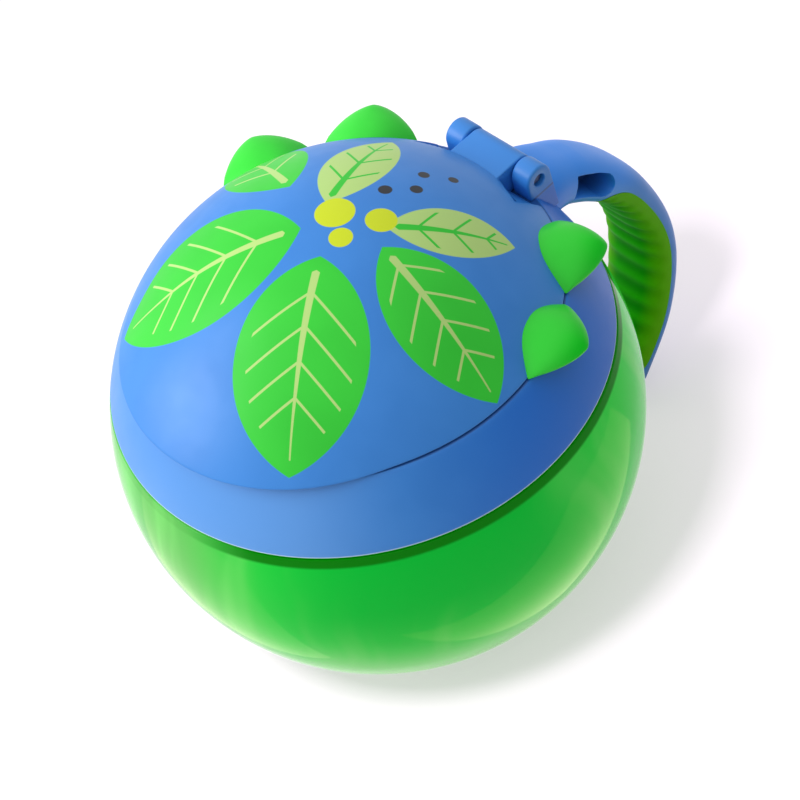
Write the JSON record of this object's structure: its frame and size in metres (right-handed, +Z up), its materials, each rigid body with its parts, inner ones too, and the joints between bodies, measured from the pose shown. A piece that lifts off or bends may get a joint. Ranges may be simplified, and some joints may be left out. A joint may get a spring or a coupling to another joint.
{
  "type": "toddler snack container",
  "caption": "Ball-shaped snack bowl with a twist-on collar, soft flaps in its mouth, a hinged dome lid and a side handle.",
  "frame": {"origin": "centre of the bowl's flat base", "axes": "+Z up, +Y towards the hinge and the handle, +X to the right when seen from the front (-Y) side"},
  "size_m": [0.0984, 0.1209, 0.0947],
  "materials": {
    "bowl_plastic": "glossy translucent green",
    "blue_plastic": "satin blue",
    "pin_plastic": "satin dark blue",
    "soft_green": "soft matte green",
    "fin_rubber": "soft satin light green",
    "grip_rubber": "soft ribbed green"
  },
  "bodies": {
    "bowl": {"bowl": "bowl_plastic"},
    "collar": {"collar": "blue_plastic", "flap_ring": "soft_green", "hinge_pin": "pin_plastic", "handle": "blue_plastic", "handle_grip": "grip_rubber"},
    "lid": {"lid": "blue_plastic", "fin_front_left": "fin_rubber", "fin_front_right": "fin_rubber", "fin_rear_left": "fin_rubber", "fin_rear_right": "fin_rubber"},
    "flap_1": {"flap_1": "soft_green"},
    "flap_2": {"flap_2": "soft_green"},
    "flap_3": {"flap_3": "soft_green"},
    "flap_4": {"flap_4": "soft_green"},
    "flap_5": {"flap_5": "soft_green"},
    "flap_6": {"flap_6": "soft_green"}
  },
  "joints": [
    {"name": "collar_twist", "type": "hinge", "parent": "bowl", "child": "collar", "pos_m": [0, 0, 0.0601], "axis": [0, 0, 1], "range_deg": [0, 30]},
    {"name": "lid_hinge", "type": "hinge", "parent": "collar", "child": "lid", "pos_m": [0, 0.04048, 0.077], "axis": [-1, 0, 0], "range_deg": [0, 175]},
    {"name": "flap_1_bend", "type": "hinge", "parent": "collar", "child": "flap_1", "pos_m": [0.02792, 0, 0.06805], "axis": [0, 1, 0], "range_deg": [-70, 30], "stiffness_Nm_per_rad": 0.006},
    {"name": "flap_2_bend", "type": "hinge", "parent": "collar", "child": "flap_2", "pos_m": [0.01396, 0.02418, 0.06805], "axis": [-0.866, 0.5, 0], "range_deg": [-70, 30], "stiffness_Nm_per_rad": 0.006},
    {"name": "flap_3_bend", "type": "hinge", "parent": "collar", "child": "flap_3", "pos_m": [-0.01396, 0.02418, 0.06805], "axis": [-0.866, -0.5, 0], "range_deg": [-70, 30], "stiffness_Nm_per_rad": 0.006},
    {"name": "flap_4_bend", "type": "hinge", "parent": "collar", "child": "flap_4", "pos_m": [-0.02792, 0, 0.06805], "axis": [0, -1, 0], "range_deg": [-70, 30], "stiffness_Nm_per_rad": 0.006},
    {"name": "flap_5_bend", "type": "hinge", "parent": "collar", "child": "flap_5", "pos_m": [-0.01396, -0.02418, 0.06805], "axis": [0.866, -0.5, 0], "range_deg": [-70, 30], "stiffness_Nm_per_rad": 0.006},
    {"name": "flap_6_bend", "type": "hinge", "parent": "collar", "child": "flap_6", "pos_m": [0.01396, -0.02418, 0.06805], "axis": [0.866, 0.5, 0], "range_deg": [-70, 30], "stiffness_Nm_per_rad": 0.006}
  ]
}
